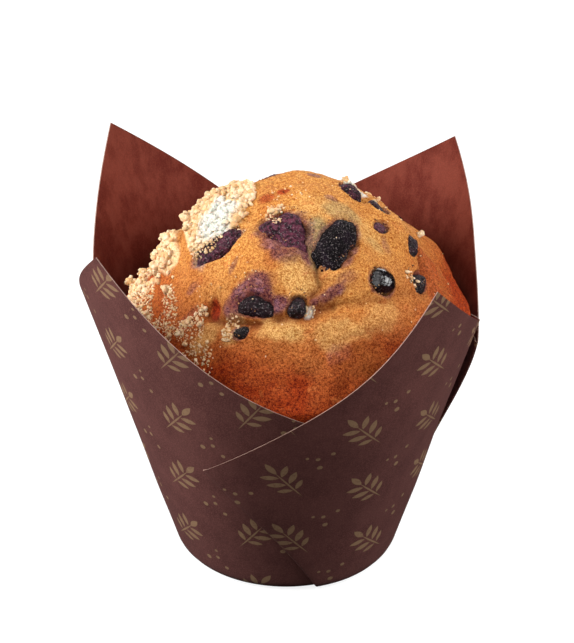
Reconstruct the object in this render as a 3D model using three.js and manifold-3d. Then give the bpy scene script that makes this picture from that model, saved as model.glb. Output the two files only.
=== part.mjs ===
// A berry muffin in a folded paper case.
// Millimetres, +Z up, the origin at the middle of the case's foot. Azimuths are degrees round the
// middle, from the front (-Y) towards the right (+X).

import * as THREE from "three";
import { mergeVertices } from "three/addons/utils/BufferGeometryUtils.js";
import Module from "manifold-3d";

const wasm = await Module();
wasm.setup();

// Paper case: a square sheet pressed round a cup, with four points and four pleats
const FOOT_RADIUS = 25;
const FLARE = 0.29;
const SHEET = 0.4;
const LAYER = 0.8;
const FOOT_EDGE = [[0, 2.4], [1, 1.0], [3, 0]];
const FOOT_TUCK = 2.2;
const WALL_STEPS = 5;
const EDGE_STEPS = 8;
const EDGE_CROWDING = 1.25;
const PLEAT_STEPS = 5;
const FOLD_STEPS = 3;

// A petal is one side of the sheet. Its outer fold lies over the petal on its left, and its
// inner fold under the petal on its right. Folds and tips are [azimuth, height]; a slope is
// [share that is straight, power of the rest] of the edge from a fold up to the tip.
// Lift is how far the pleat stands off: [most, at height, spread below, spread above].
const PETALS = [
  {
    feet: [-82, 18.6], outer: [-112, 46], tip: [-49.3, 92.1], inner: [16, 52],
    leftSlope: [1, 1], rightSlope: [0.6, 3.4], lift: [0.8, 40, 20, 20],
  },
  {
    feet: [18.6, 104], outer: [-28, 39.7], tip: [36.3, 88.2], inner: [118, 51],
    leftSlope: [0.7, 8], rightSlope: [0.57, 3.2], lift: [1.4, 38, 20, 30],
  },
  {
    feet: [104, 200], outer: [90, 52], tip: [130.8, 87.9], inner: [207, 54],
    leftSlope: [0.9, 2], rightSlope: [0.6, 2.4], lift: [3, 45, 23.6, 14.5],
  },
  {
    feet: [200, 278], outer: [168, 46], tip: [232.2, 92.1], inner: [288, 55],
    leftSlope: [1, 1], rightSlope: [0.6, 2.3], lift: [0.8, 40, 20, 20],
  },
];

// Muffin: a body that fills the case and a cracked dome, whose middle is a little to the right
const DOME_RADIUS = 40.5;
const DOME_BASE = 58;
const DOME_RISE = 34.5;
const DOME_POWER = 1.1;
const DOME_SHIFT = 2.2;
const SHIFT_FADE = [50, 62];
const SHOULDER = 5;
const BOTTOM = 0.8;
const CLEARANCE = 0.75;
const FOOT_CORNER = 1;
const RELIEF_FADE = [-2, 4];
const MUFFIN_DETAIL = 14;
const DOME_SHARE_ANGLE = 2.2;
const DOME_STEPS = 60;
const SIDE_STEPS = 40;

// Relief of the crust, placed in plan from the dome's middle: rounded lobes, cracks and pits
const LOBES = [
  { at: [-6, -19.5], radius: 11, height: 2.2 },
  { at: [13, -19], radius: 10, height: 1.2 },
  { at: [-22, -14], radius: 9, height: 0.9 },
  { at: [20, -2], radius: 8, height: 1.5 },
  { at: [-8, 24], radius: 11, height: 1.8 },
  { at: [14, 22], radius: 10, height: 1.6 },
  { at: [29.5, 12], radius: 10, height: 2.1 },
];
const LOBE_POWER = 1.5;
const CRACKS = [
  { path: [[0.5, -16.5], [3.8, -20.5], [4.6, -23.3], [2.4, -25.4], [-0.1, -28.3]], depth: 1.1, width: 1.1 },
  {
    path: [[-20, -23.2], [-15.8, -26.2], [-9.9, -27.8], [-0.6, -28.3], [7.7, -25.8]],
    depth: 1.5, width: 1.4,
  },
  { path: [[7.7, -25.8], [14.2, -23.6], [21.8, -18.3], [28.9, -11.1]], depth: 0.5, width: 1.5 },
  { path: [[14, 1.8], [21, 2.5], [26, -1], [28, -8]], depth: 1.7, width: 1.3 },
  { path: [[-26, 16], [-16, 22.5], [-4, 20], [4, 25], [16, 29]], depth: 2.2, width: 1.4 },
  { path: [[4, 25], [8, 16], [17, 11]], depth: 1.8, width: 1.3 },
];
const PITS = [
  { at: [-18.3, -22.5], radius: 1.6, depth: 2.2 },
  { at: [17, 12.5], radius: 5, depth: 1.4 },
  { at: [6, 11.5], radius: 2.4, depth: 1 },
  { at: [-9, 10], radius: 5, depth: 0.9 },
];
// Swells: [wave length, height] of each set of crossing waves, which start at these phases
const SWELLS = [[23, 0.55], [9, 0.3]];
const SWELL_PHASES = [1.3, 4.1, 2.6];

// Berries: place in plan, length, width, turn of the length in plan, how far the top stands proud
const BERRY_GAP = 0.35;
const BERRY_THICKNESS = 0.8;
const BERRY_ROUGHNESS = 0.05;
const BERRY_SEED = 100;
const BERRIES = [
  { at: [-17.2, -11.7], size: [12.8, 5.6], turn: 16, proud: 1.3, detail: 2 },
  { at: [-2.8, -14.1], size: [12, 9.6], turn: -40, proud: 1.1, detail: 2 },
  { at: [8.1, -15.6], size: [14.2, 8.2], turn: 72, proud: 1.5, detail: 2 },
  { at: [-9.3, -25.6], size: [8.6, 5.2], turn: -10, proud: 0.7, detail: 1 },
  { at: [-0.4, -26.8], size: [4.8, 4], turn: 70, proud: 0.6, detail: 1 },
  { at: [-12.4, -28.6], size: [3.6, 2.8], turn: 20, proud: 0.3, detail: 1 },
  { at: [17.7, -18.5], size: [6.9, 6.4], turn: 0, proud: 1.8, detail: 1 },
  { at: [26.6, -11.2], size: [5.6, 4.6], turn: 70, proud: 1.1, detail: 1 },
  { at: [24.8, -3.2], size: [6.2, 3.6], turn: -75, proud: 1.1, detail: 1 },
  { at: [17.8, -6.2], size: [3.6, 3], turn: 0, proud: 0.6, detail: 1 },
  { at: [11.6, 1.8], size: [5.6, 4.8], turn: -30, proud: 1.7, detail: 1 },
  { at: [17.2, -0.2], size: [5.2, 2.6], turn: -30, proud: 0.5, detail: 1 },
  { at: [-5, 16], size: [9, 7], turn: 30, proud: 1.0, detail: 1 },
  { at: [9, 27.5], size: [7, 5.4], turn: -35, proud: 0.8, detail: 1 },
  { at: [-22, 17.5], size: [5.6, 4.6], turn: 60, proud: 0.9, detail: 1 },
  { at: [23, 18.5], size: [5, 4.4], turn: 15, proud: 1.2, detail: 1 },
];

// Crumble: raised pale patches, and the lumps and crumbs that stand out of them
const PATCHES = [
  { at: [-17.4, 0], size: [7.5, 10.5], turn: 0, height: 1.4 },
  { at: [-18.6, -7], size: [4.2, 6.2], turn: 0, height: 1.2 },
  { at: [-28.4, 1.5], size: [3.4, 7.5], turn: 0, height: 1.3 },
  { at: [-36, 2], size: [2.5, 6], turn: 0, height: 0.8 },
  { at: [-4, 30], size: [8, 3.5], turn: 10, height: 1.3 },
];
const PATCH_EDGE = [0.75, 1.15];
const CRUMBS = [
  [-18.5, 9, 3.4], [-24, 8, 3.6], [-22.8, 2.4, 3.2], [-10.6, 2.4, 2.6], [-13.6, 6.5, 2.6],
  [-31, 6, 3.4], [-34.4, 6.4, 3.2], [-27.4, 3.4, 3.4], [-30.6, -3.6, 2.6], [-36.4, 5.8, 3],
  [-37, -1.6, 2.4], [-35.4, -7, 2.6], [-33.2, -11.6, 2.4], [-31.6, -16.2, 2.4], [-28.9, -10.6, 2.8],
  [-28, -20.8, 2.2], [-24.6, -24.6, 2.4], [-21.4, -23.4, 2.2], [-7.6, -7, 2.6],
  [9.6, 6, 3.2], [16.4, 3.4, 2.2], [-1, 31, 3.4], [-8, 29, 3], [4, 32.6, 2.6], [18, 24, 2.8],
  [27, 8, 2.4],
];
const CRUMB_SINK = 0.08;
const CRUMB_HEIGHT = 0.8;
const CRUMB_NARROWEST = 0.7;
const CRUMB_ROUGHNESS = 0.14;
const LARGE_CRUMB = 3;
const CRUMB_SEED = 20;

const RANDOM_FACTOR = 16807;
const RANDOM_MODULUS = 2147483647;
const SAME_POINT = 1e-5;

const COLOURS = {
  paper: 0x5a3a37,
  crust: 0xd0904a,
  berry: 0x2a1c2c,
};

const radians = THREE.MathUtils.degToRad;
const lerp = THREE.MathUtils.lerp;
const smooth = (from, to, value) => {
  const share = THREE.MathUtils.clamp((value - from) / (to - from), 0, 1);
  return share * share * (3 - 2 * share);
};
const bell = (offset, width) => Math.exp(-((offset / width) ** 2));

// A seeded random number source, the same on every run
function randomFrom(seed) {
  let state = seed;
  return () => {
    state = (state * RANDOM_FACTOR) % RANDOM_MODULUS;
    return state / RANDOM_MODULUS;
  };
}

function geometryOf(points, faces) {
  const geometry = new THREE.BufferGeometry();
  geometry.setAttribute("position", new THREE.Float32BufferAttribute(points.flat(), 3));
  geometry.setIndex(faces.flat());
  return geometry;
}

// The middle line of the case's wall at a height, with the foot's edge turned in
function wallRadius(z) {
  const line = FOOT_RADIUS + FLARE * z;
  for (let i = 1; i < FOOT_EDGE.length; i++) {
    const [low, insetLow] = FOOT_EDGE[i - 1];
    const [high, insetHigh] = FOOT_EDGE[i];
    if (z <= high) return line - lerp(insetLow, insetHigh, (z - low) / (high - low));
  }
  return line;
}

// The azimuth of a petal's outer (side 0) or inner (side 1) fold at a height
function foldAzimuth(petal, side, z) {
  const [azimuth, height] = side === 0 ? petal.outer : petal.inner;
  const foot = petal.feet[side] + (side === 0 ? -FOOT_TUCK : FOOT_TUCK);
  return lerp(foot, azimuth, Math.min(z / height, 1));
}

function liftAt(petal, z) {
  const [most, height, below, above] = petal.lift;
  return most * bell(z - height, z < height ? below : above);
}

// How far a petal's middle line lies outside the wall at an azimuth and a height
function petalOffset(petal, before, after, azimuth, z) {
  const turn = before.feet[1] - petal.feet[0];
  const overlapEnd = foldAzimuth(before, 1, z) - turn;
  const nextTurn = petal.feet[1] - after.feet[0];
  const nextStart = foldAzimuth(after, 0, z) + nextTurn;
  const over = 2 * LAYER * (1 - smooth(overlapEnd, nextStart, azimuth));
  const start = foldAzimuth(petal, 0, z);
  return over + liftAt(petal, z) * (1 - smooth(start, overlapEnd, azimuth));
}

// Columns of one petal and of the pleat after it. A column gives the top of the paper there and,
// for any height, its azimuth, its offset from the wall, its shift along it and its facing.
function petalColumns(petal, before, after) {
  const columns = [];
  const edge = (from, slope, share) => {
    const rise = slope[0] * share + (1 - slope[0]) * share ** slope[1];
    return [lerp(from[0], petal.tip[0], share), lerp(from[1], petal.tip[1], rise)];
  };
  const addPaper = ([azimuthTop, top]) => {
    const startTop = foldAzimuth(petal, 0, top);
    const share = (azimuthTop - startTop) / (foldAzimuth(petal, 1, top) - startTop);
    columns.push({
      top,
      at: (z) => {
        const azimuth = lerp(foldAzimuth(petal, 0, z), foldAzimuth(petal, 1, z), share);
        return { azimuth, offset: petalOffset(petal, before, after, azimuth, z), shift: 0, facing: 0 };
      },
    });
  };
  for (let i = 0; i <= EDGE_STEPS; i++) {
    addPaper(edge(petal.outer, petal.leftSlope, 1 - (1 - i / EDGE_STEPS) ** EDGE_CROWDING));
  }
  for (let i = EDGE_STEPS - 1; i >= 0; i--) {
    addPaper(edge(petal.inner, petal.rightSlope, 1 - (1 - i / EDGE_STEPS) ** EDGE_CROWDING));
  }

  // The pleat: round the inner fold, back to the next petal's outer fold, and round that
  const turn = petal.feet[1] - after.feet[0];
  const outerTop = after.outer[1];
  const innerTop = petal.inner[1];
  for (let i = 1; i < FOLD_STEPS; i++) {
    const bend = (Math.PI * i) / FOLD_STEPS;
    columns.push({
      top: innerTop,
      at: (z) => ({
        azimuth: foldAzimuth(petal, 1, z),
        offset: (LAYER / 2) * (1 - Math.cos(bend)),
        shift: (LAYER / 2) * Math.sin(bend),
        facing: -bend,
      }),
    });
  }
  for (let i = 0; i <= PLEAT_STEPS; i++) {
    const share = i / PLEAT_STEPS;
    columns.push({
      top: lerp(innerTop, outerTop, share),
      at: (z) => ({
        azimuth: lerp(foldAzimuth(petal, 1, z), foldAzimuth(after, 0, z) + turn, share),
        offset: LAYER + liftAt(after, z) * smooth(0, 1, share),
        shift: 0,
        facing: Math.PI,
      }),
    });
  }
  for (let i = 1; i < FOLD_STEPS; i++) {
    const bend = (Math.PI * i) / FOLD_STEPS;
    columns.push({
      top: outerTop,
      at: (z) => ({
        azimuth: foldAzimuth(after, 0, z) + turn,
        offset: LAYER + liftAt(after, z) + (LAYER / 2) * (1 - Math.cos(bend)),
        shift: -(LAYER / 2) * Math.sin(bend),
        facing: Math.PI + bend,
      }),
    });
  }
  return columns;
}

// A point on the outer (side 1) or inner (side -1) face of the paper
function paperPoint(column, z, side) {
  const { azimuth, offset, shift, facing } = column.at(z);
  const angle = radians(azimuth);
  const outward = wallRadius(z) + offset + side * (SHEET / 2) * Math.cos(facing);
  const along = shift + side * (SHEET / 2) * Math.sin(facing);
  return [
    outward * Math.sin(angle) + along * Math.cos(angle),
    -outward * Math.cos(angle) + along * Math.sin(angle),
    z,
  ];
}

function makeWrap() {
  const columns = PETALS.flatMap((petal, i) => {
    const before = PETALS[(i + PETALS.length - 1) % PETALS.length];
    return petalColumns(petal, before, PETALS[(i + 1) % PETALS.length]);
  });
  const footEdgeTop = FOOT_EDGE.at(-1)[0];
  const heights = (column, start) => [
    start,
    ...FOOT_EDGE.slice(1).map(([z]) => z),
    ...Array.from({ length: WALL_STEPS }, (_, i) => lerp(footEdgeTop, column.top, (i + 1) / WALL_STEPS)),
  ];
  const rows = FOOT_EDGE.length + WALL_STEPS;
  const points = [];
  for (const [side, start] of [[1, 0], [-1, SHEET]]) {
    const grid = columns.map((column) => heights(column, start).map((z) => paperPoint(column, z, side)));
    for (let row = 0; row < rows; row++) points.push(...grid.map((stack) => stack[row]));
  }

  const count = columns.length;
  const outer = (row, column) => row * count + (column % count);
  const inner = (row, column) => (rows + row) * count + (column % count);
  const faces = [];
  const addQuad = (a, b, c, d) => faces.push([a, b, c], [a, c, d]);
  for (let column = 0; column < count; column++) {
    const next = column + 1;
    for (let row = 0; row < rows - 1; row++) {
      addQuad(outer(row, column), outer(row, next), outer(row + 1, next), outer(row + 1, column));
      addQuad(inner(row, next), inner(row, column), inner(row + 1, column), inner(row + 1, next));
    }
    addQuad(outer(rows - 1, column), outer(rows - 1, next), inner(rows - 1, next), inner(rows - 1, column));
  }
  const flat = (index) => new THREE.Vector2(points[index][0], points[index][1]);
  const ring = Array.from({ length: count }, (_, column) => column);
  const under = THREE.ShapeUtils.triangulateShape(ring.map((column) => flat(outer(0, column))), []);
  const floor = THREE.ShapeUtils.triangulateShape(ring.map((column) => flat(inner(0, column))), []);
  faces.push(...under.map(([a, b, c]) => [outer(0, c), outer(0, b), outer(0, a)]));
  faces.push(...floor.map(([a, b, c]) => [inner(0, a), inner(0, b), inner(0, c)]));
  return geometryOf(points, faces);
}

function domeHeight(radius) {
  const share = Math.min(radius / DOME_RADIUS, 1);
  return DOME_BASE + DOME_RISE * (1 - share * share) ** DOME_POWER;
}

// The farthest from the middle of the case that the muffin may reach at a height
const roomInside = (z) => wallRadius(z) - SHEET / 2 - CLEARANCE;

// The muffin's outline from the top of the dome to the middle of its bottom, as radius and height
function outline() {
  const points = [];
  for (let i = 0; i <= DOME_STEPS; i++) {
    const radius = (DOME_RADIUS * i) / DOME_STEPS;
    points.push(new THREE.Vector2(radius, domeHeight(radius)));
  }
  const foot = BOTTOM + FOOT_EDGE.at(-1)[0];
  for (let i = 1; i <= SIDE_STEPS; i++) {
    const z = lerp(DOME_BASE - 1, foot, i / SIDE_STEPS);
    const tuck = smooth(DOME_BASE, DOME_BASE - SHOULDER, z);
    points.push(new THREE.Vector2(lerp(DOME_RADIUS, Math.min(roomInside(z), DOME_RADIUS), tuck), z));
  }
  points.push(new THREE.Vector2(roomInside(BOTTOM) - FOOT_CORNER, BOTTOM));
  points.push(new THREE.Vector2(0, BOTTOM));
  return points;
}

const OUTLINE = outline();
const OUTLINE_LENGTHS = OUTLINE.map(() => 0);
for (let i = 1; i < OUTLINE.length; i++) {
  OUTLINE_LENGTHS[i] = OUTLINE_LENGTHS[i - 1] + OUTLINE[i].distanceTo(OUTLINE[i - 1]);
}
const DOME_LENGTH = OUTLINE_LENGTHS[OUTLINE.findLastIndex((point) => point.y >= DOME_BASE)];

// The outline's point and outward direction at a length along it from the top
function outlineAt(length) {
  let i = OUTLINE_LENGTHS.findIndex((at) => at >= length);
  if (i < 0) i = OUTLINE.length - 1;
  i = Math.max(i, 1);
  const share = (length - OUTLINE_LENGTHS[i - 1]) / (OUTLINE_LENGTHS[i] - OUTLINE_LENGTHS[i - 1]);
  const point = OUTLINE[i - 1].clone().lerp(OUTLINE[i], Math.min(share, 1));
  const along = OUTLINE[i].clone().sub(OUTLINE[i - 1]).normalize();
  return { point, outward: new THREE.Vector2(-along.y, along.x) };
}

function domePoint([x, y]) {
  return new THREE.Vector3(x, y, domeHeight(Math.hypot(x, y)));
}

function domeNormal([x, y]) {
  const step = 0.01;
  const radius = Math.max(Math.hypot(x, y), step);
  const slope = (domeHeight(radius + step) - domeHeight(radius - step)) / (2 * step);
  return new THREE.Vector3((-slope * x) / radius, (-slope * y) / radius, 1).normalize();
}

// Long soft swells, worked out from a few crossing waves
function swells(point) {
  let height = 0;
  for (const [length, amount] of SWELLS) {
    const k = (2 * Math.PI) / length;
    const ways = [point.x + 0.4 * point.y, point.y - 0.7 * point.z, 0.8 * point.z - point.x];
    const waves = ways.map((way, i) => Math.sin(k * way + SWELL_PHASES[i]));
    height += (amount * (waves[0] + waves[1] + waves[2])) / waves.length;
  }
  return height;
}

const CRACK_LINES = CRACKS.map(({ path, depth, width }) => {
  const points = path.map(domePoint);
  const lines = points.slice(1).map((point, i) => new THREE.Line3(points[i], point));
  return { lines, depth, width };
});
const LOBE_SPOTS = LOBES.map((lobe) => ({ ...lobe, centre: domePoint(lobe.at) }));
const PIT_SPOTS = PITS.map((pit) => ({ ...pit, centre: domePoint(pit.at) }));

function patchHeight(point) {
  let height = 0;
  for (const patch of PATCHES) {
    const turn = radians(patch.turn);
    const x = point.x - patch.at[0];
    const y = point.y - patch.at[1];
    const long = (x * Math.cos(turn) + y * Math.sin(turn)) / patch.size[0];
    const wide = (y * Math.cos(turn) - x * Math.sin(turn)) / patch.size[1];
    const cover = 1 - smooth(PATCH_EDGE[0], PATCH_EDGE[1], Math.hypot(long, wide));
    height = Math.max(height, patch.height * cover);
  }
  return height;
}

// How far the crust stands out of the plain dome at a point, given from the dome's middle
function relief(point) {
  let height = swells(point) + patchHeight(point);
  for (const lobe of LOBE_SPOTS) {
    const share = Math.min(point.distanceTo(lobe.centre) / lobe.radius, 1);
    height += lobe.height * (1 - share * share) ** LOBE_POWER;
  }
  const nearest = new THREE.Vector3();
  for (const crack of CRACK_LINES) {
    let distance = Infinity;
    for (const line of crack.lines) {
      line.closestPointToPoint(point, true, nearest);
      distance = Math.min(distance, nearest.distanceTo(point));
    }
    height -= crack.depth * bell(distance, crack.width);
  }
  for (const pit of PIT_SPOTS) height -= pit.depth * bell(point.distanceTo(pit.centre), pit.radius);
  return height;
}

// Places a point given from the dome's middle, kept inside the case
function placed(point) {
  const shifted = point.clone();
  shifted.x += DOME_SHIFT * smooth(SHIFT_FADE[0], SHIFT_FADE[1], point.z);
  const radius = Math.hypot(shifted.x, shifted.y);
  const room = roomInside(Math.max(point.z, BOTTOM));
  if (radius > room) {
    shifted.x *= room / radius;
    shifted.y *= room / radius;
  }
  return shifted;
}

// A closed ball of nearly equal triangles, with its shared corners merged
function ball(detail) {
  const geometry = new THREE.IcosahedronGeometry(1, detail);
  geometry.deleteAttribute("normal");
  geometry.deleteAttribute("uv");
  return mergeVertices(geometry, SAME_POINT);
}

function muffinShell() {
  const geometry = ball(MUFFIN_DETAIL);
  const positions = geometry.attributes.position;
  const direction = new THREE.Vector3();
  const restLength = OUTLINE_LENGTHS.at(-1) - DOME_LENGTH;
  for (let i = 0; i < positions.count; i++) {
    direction.fromBufferAttribute(positions, i).normalize();
    const angle = Math.acos(THREE.MathUtils.clamp(direction.z, -1, 1));
    const below = (angle - DOME_SHARE_ANGLE) / (Math.PI - DOME_SHARE_ANGLE);
    const onDome = angle < DOME_SHARE_ANGLE;
    const length = onDome ? (DOME_LENGTH * angle) / DOME_SHARE_ANGLE : DOME_LENGTH + below * restLength;
    const { point, outward } = outlineAt(length);
    const flat = Math.max(Math.hypot(direction.x, direction.y), SAME_POINT);
    const across = [direction.x / flat, direction.y / flat];
    const onCrust = new THREE.Vector3(point.x * across[0], point.x * across[1], point.y);
    const fade = smooth(DOME_BASE + RELIEF_FADE[0], DOME_BASE + RELIEF_FADE[1], point.y);
    const height = fade > 0 ? fade * relief(onCrust) : 0;
    onCrust.x += outward.x * height * across[0];
    onCrust.y += outward.x * height * across[1];
    onCrust.z += outward.y * height;
    const final = placed(onCrust);
    positions.setXYZ(i, final.x, final.y, final.z);
  }
  return geometry;
}

// A lumpy ellipsoid set into the crust at a place in plan, its length turned in plan
function lump({ at, axes, turn, depth, detail, roughness, random }) {
  const geometry = ball(detail);
  const normal = domeNormal(at);
  const heading = new THREE.Vector3(Math.cos(radians(turn)), Math.sin(radians(turn)), 0);
  const side = new THREE.Vector3().crossVectors(normal, heading).normalize();
  const forward = new THREE.Vector3().crossVectors(side, normal);
  const surface = domePoint(at);
  const centre = surface.addScaledVector(normal, relief(surface) - depth);
  centre.x += DOME_SHIFT * smooth(SHIFT_FADE[0], SHIFT_FADE[1], centre.z);
  const positions = geometry.attributes.position;
  for (let i = 0; i < positions.count; i++) {
    const bump = 1 + roughness * (2 * random() - 1);
    const point = centre.clone();
    point.addScaledVector(forward, positions.getX(i) * axes[0] * bump);
    point.addScaledVector(side, positions.getY(i) * axes[1] * bump);
    point.addScaledVector(normal, positions.getZ(i) * axes[2] * bump);
    positions.setXYZ(i, point.x, point.y, point.z);
  }
  return geometry;
}

// A berry, or with a gap the pocket round it
function berryGeometry(berry, index, gap) {
  const [length, width] = berry.size;
  const thickness = Math.min(width, BERRY_THICKNESS * length);
  return lump({
    at: berry.at,
    axes: [length / 2 + gap, width / 2 + gap, thickness / 2 + gap],
    turn: berry.turn,
    depth: thickness / 2 - berry.proud,
    detail: berry.detail,
    roughness: BERRY_ROUGHNESS,
    random: randomFrom(BERRY_SEED + index),
  });
}

function crumbGeometry([x, y, size], random) {
  return lump({
    at: [x, y],
    axes: [size / 2, (size / 2) * lerp(CRUMB_NARROWEST, 1, random()), (size / 2) * CRUMB_HEIGHT],
    turn: 360 * random(),
    depth: size * CRUMB_SINK,
    detail: size > LARGE_CRUMB ? 1 : 0,
    roughness: CRUMB_ROUGHNESS,
    random,
  });
}

function solidOf(geometry) {
  const vertProperties = new Float32Array(geometry.attributes.position.array);
  const triVerts = new Uint32Array(geometry.index.array);
  return new wasm.Manifold(new wasm.Mesh({ numProp: 3, vertProperties, triVerts }));
}

function geometryFromSolid(solid) {
  const { vertProperties, triVerts } = solid.getMesh();
  const geometry = new THREE.BufferGeometry();
  geometry.setAttribute("position", new THREE.BufferAttribute(vertProperties, 3));
  geometry.setIndex(new THREE.BufferAttribute(triVerts, 1));
  return geometry;
}

function makeMuffin() {
  const random = randomFrom(CRUMB_SEED);
  let solid = solidOf(muffinShell());
  for (const crumb of CRUMBS) solid = solid.add(solidOf(crumbGeometry(crumb, random)));
  BERRIES.forEach((berry, index) => {
    solid = solid.subtract(solidOf(berryGeometry(berry, index, BERRY_GAP)));
  });
  return geometryFromSolid(solid);
}

const materials = {
  paper: new THREE.MeshStandardMaterial({ color: COLOURS.paper, roughness: 0.8, metalness: 0 }),
  crust: new THREE.MeshStandardMaterial({ color: COLOURS.crust, roughness: 0.75, metalness: 0 }),
  berry: new THREE.MeshStandardMaterial({ color: COLOURS.berry, roughness: 0.4, metalness: 0 }),
};

const muffinInCase = new THREE.Group();

function addPiece(name, geometry, material) {
  const mesh = new THREE.Mesh(geometry, material);
  mesh.name = name;
  muffinInCase.add(mesh);
}

addPiece("wrap", makeWrap(), materials.paper);
addPiece("muffin", makeMuffin(), materials.crust);
BERRIES.forEach((berry, index) => {
  addPiece(`berry_${index + 1}`, berryGeometry(berry, index, 0), materials.berry);
});

export default muffinInCase;
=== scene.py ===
# A berry muffin with crumble in a folded paper case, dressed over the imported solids.
# Shapes are worked out in millimetres and written to Blender in metres.

import math

import bmesh
import bpy
import numpy as np
from mathutils import Matrix, Vector


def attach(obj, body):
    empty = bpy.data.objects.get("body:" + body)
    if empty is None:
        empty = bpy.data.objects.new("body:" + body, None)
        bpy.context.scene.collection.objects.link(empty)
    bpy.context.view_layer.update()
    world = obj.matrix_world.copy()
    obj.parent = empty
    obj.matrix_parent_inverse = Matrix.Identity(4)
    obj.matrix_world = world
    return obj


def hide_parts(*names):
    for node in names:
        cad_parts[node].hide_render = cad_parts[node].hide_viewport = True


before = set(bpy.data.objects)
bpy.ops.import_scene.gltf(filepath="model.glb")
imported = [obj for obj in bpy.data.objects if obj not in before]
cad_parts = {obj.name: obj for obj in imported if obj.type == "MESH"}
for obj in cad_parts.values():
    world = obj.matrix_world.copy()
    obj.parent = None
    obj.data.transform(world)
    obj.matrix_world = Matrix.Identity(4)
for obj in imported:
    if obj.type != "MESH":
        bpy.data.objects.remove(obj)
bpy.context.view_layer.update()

MM = 0.001

# Camera, as the photograph was taken
CAMERA_TARGET = (-0.276, 0.0, 57.26)
CAMERA_DISTANCE = 500.0
CAMERA_ELEVATION = 30.0
FOCAL_PIXELS = 2201.0
IMAGE_HEIGHT = 643.0
SENSOR_HEIGHT = 36.0

# Paper case, from the same sizes as its solid but with thinner paper
FOOT_RADIUS = 25.0
FLARE = 0.29
FOOT_ROUND = 3.0
SHEET = 0.22
LAYER = 0.45
FOOT_TUCK = 2.2
WALL_STEPS = 42
EDGE_STEPS = 44
EDGE_CROWDING = 1.2
PLEAT_STEPS = 14
FOLD_STEPS = 6
FOOT_STEPS = 5
LEAST_STEP = 0.05
PAPER_WAVE = 0.35
PAPER_WAVE_SIZE = 17.0
PAPER_WAVE_FADE = (2.0, 20.0)
# How far each petal is turned in the flat sheet
SHEET_TURN = (-45.0, 45.0, 135.0, 225.0)

# Petals: feet of the pleats, folds and tip as (azimuth, height), edge slopes, lift of the pleat
PETALS = (
    dict(feet=(-82, 18.6), outer=(-112, 46), tip=(-49.3, 92.1), inner=(16, 52),
         left=(1, 1), right=(0.6, 3.4), lift=(0.8, 40, 20, 20)),
    dict(feet=(18.6, 104), outer=(-28, 39.7), tip=(36.3, 88.2), inner=(118, 51),
         left=(0.7, 8), right=(0.57, 3.2), lift=(1.4, 38, 20, 30)),
    dict(feet=(104, 200), outer=(90, 52), tip=(130.8, 87.9), inner=(207, 54),
         left=(0.9, 2), right=(0.6, 2.4), lift=(3, 45, 23.6, 14.5)),
    dict(feet=(200, 278), outer=(168, 46), tip=(232.2, 92.1), inner=(288, 55),
         left=(1, 1), right=(0.6, 2.3), lift=(0.8, 40, 20, 20)),
)

# The print: a sprig of pointed leaves on a stem, staggered with small dots, in sheet millimetres
PRINT_CELL = (21.0, 17.5)
# The stem, the leaf at its tip, and those on its right, which the left mirrors: place, turn, half sizes
SPRIG = (
    (0, -1.2, 90, 5, 0.22), (0, 5.2, 90, 2.1, 0.75), (1.9, 3, 38, 2, 0.7),
    (2.1, 0.2, 34, 2.1, 0.75), (1.8, -2.5, 30, 1.7, 0.6),
)
PRINT_DOTS = ((8.2, -1.0, 0.62), (9.5, 1.6, 0.5), (8.0, 3.4, 0.38), (-8.2, 0.6, 0.5))

# Muffin
DOME_RADIUS = 40.5
DOME_BASE = 58.0
DOME_RISE = 34.5
DOME_POWER = 1.1
DOME_SHIFT = 2.2
SHIFT_FADE = (50.0, 62.0)
SHOULDER = 5.0
BOTTOM = 0.8
CLEARANCE = 0.5
MUFFIN_DETAIL = 88
# How far down the ball that the muffin is made from its dome reaches, in radians
DOME_SHARE_ANGLE = 2.55
RELIEF_FADE = (DOME_BASE - 2, DOME_BASE + 4)

# Lobes: place in plan, radius, rise
LOBES = (
    ((-6, -19.5), 11, 2.2), ((13, -19), 10, 1.2), ((-22, -14), 9, 0.9), ((20, -2), 8, 1.5),
    ((-8, 24), 11, 1.8), ((14, 22), 10, 1.6), ((29.5, 12), 10, 2.1),
)
# Cracks: path in plan, depth, width
CRACKS = (
    (((0.5, -16.5), (3.8, -20.5), (4.6, -23.3), (2.4, -25.4), (-0.1, -28.3)), 1.1, 1.0),
    (((-20, -23.2), (-15.8, -26.2), (-9.9, -27.8), (-0.6, -28.3), (7.7, -25.8)), 1.5, 1.3),
    (((7.7, -25.8), (14.2, -23.6), (21.8, -18.3), (28.9, -11.1)), 0.5, 1.4),
    (((14, 1.8), (21, 2.5), (26, -1), (28, -8)), 1.7, 1.2),
    (((-26, 16), (-16, 22.5), (-4, 20), (4, 25), (16, 29)), 2.2, 1.3),
    (((4, 25), (8, 16), (17, 11)), 1.8, 1.2),
)
# Pits: place in plan, radius, depth
PITS = (
    ((-18.3, -22.5), 1.6, 2.2), ((17, 12.5), 5.0, 1.4), ((6, 11.5), 2.4, 1.0), ((-9, 10), 5.0, 0.9),
)
# Faint folds in the skin, most of them beside the front crack: path, depth, width
FOLDS = (
    (((2.5, -27.2), (8.8, -25.4), (15.7, -21.6)), 0.6, 0.5),
    (((6.7, -28.0), (16.4, -22.8), (22, -18.4)), 0.55, 0.5),
    (((9, -30.4), (15, -27.6), (22, -22.4)), 0.5, 0.6),
    (((12, 3.4), (20, 5.4), (27, 2.2)), 0.5, 0.6),
)
# Long swells: wave length, amount
SWELLS = ((23.0, 0.55), (9.0, 0.3))
# Lines of cracks and folds: how far they wander and over what length, how deep they cut, their width
WANDER = 0.7
WANDER_SIZE = 3.2
CRACK_LINE = 0.25
FOLD_LINE = 0.8
DEEPEST_LINE = 1.6
LINE_WIDTH = 0.6

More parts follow.
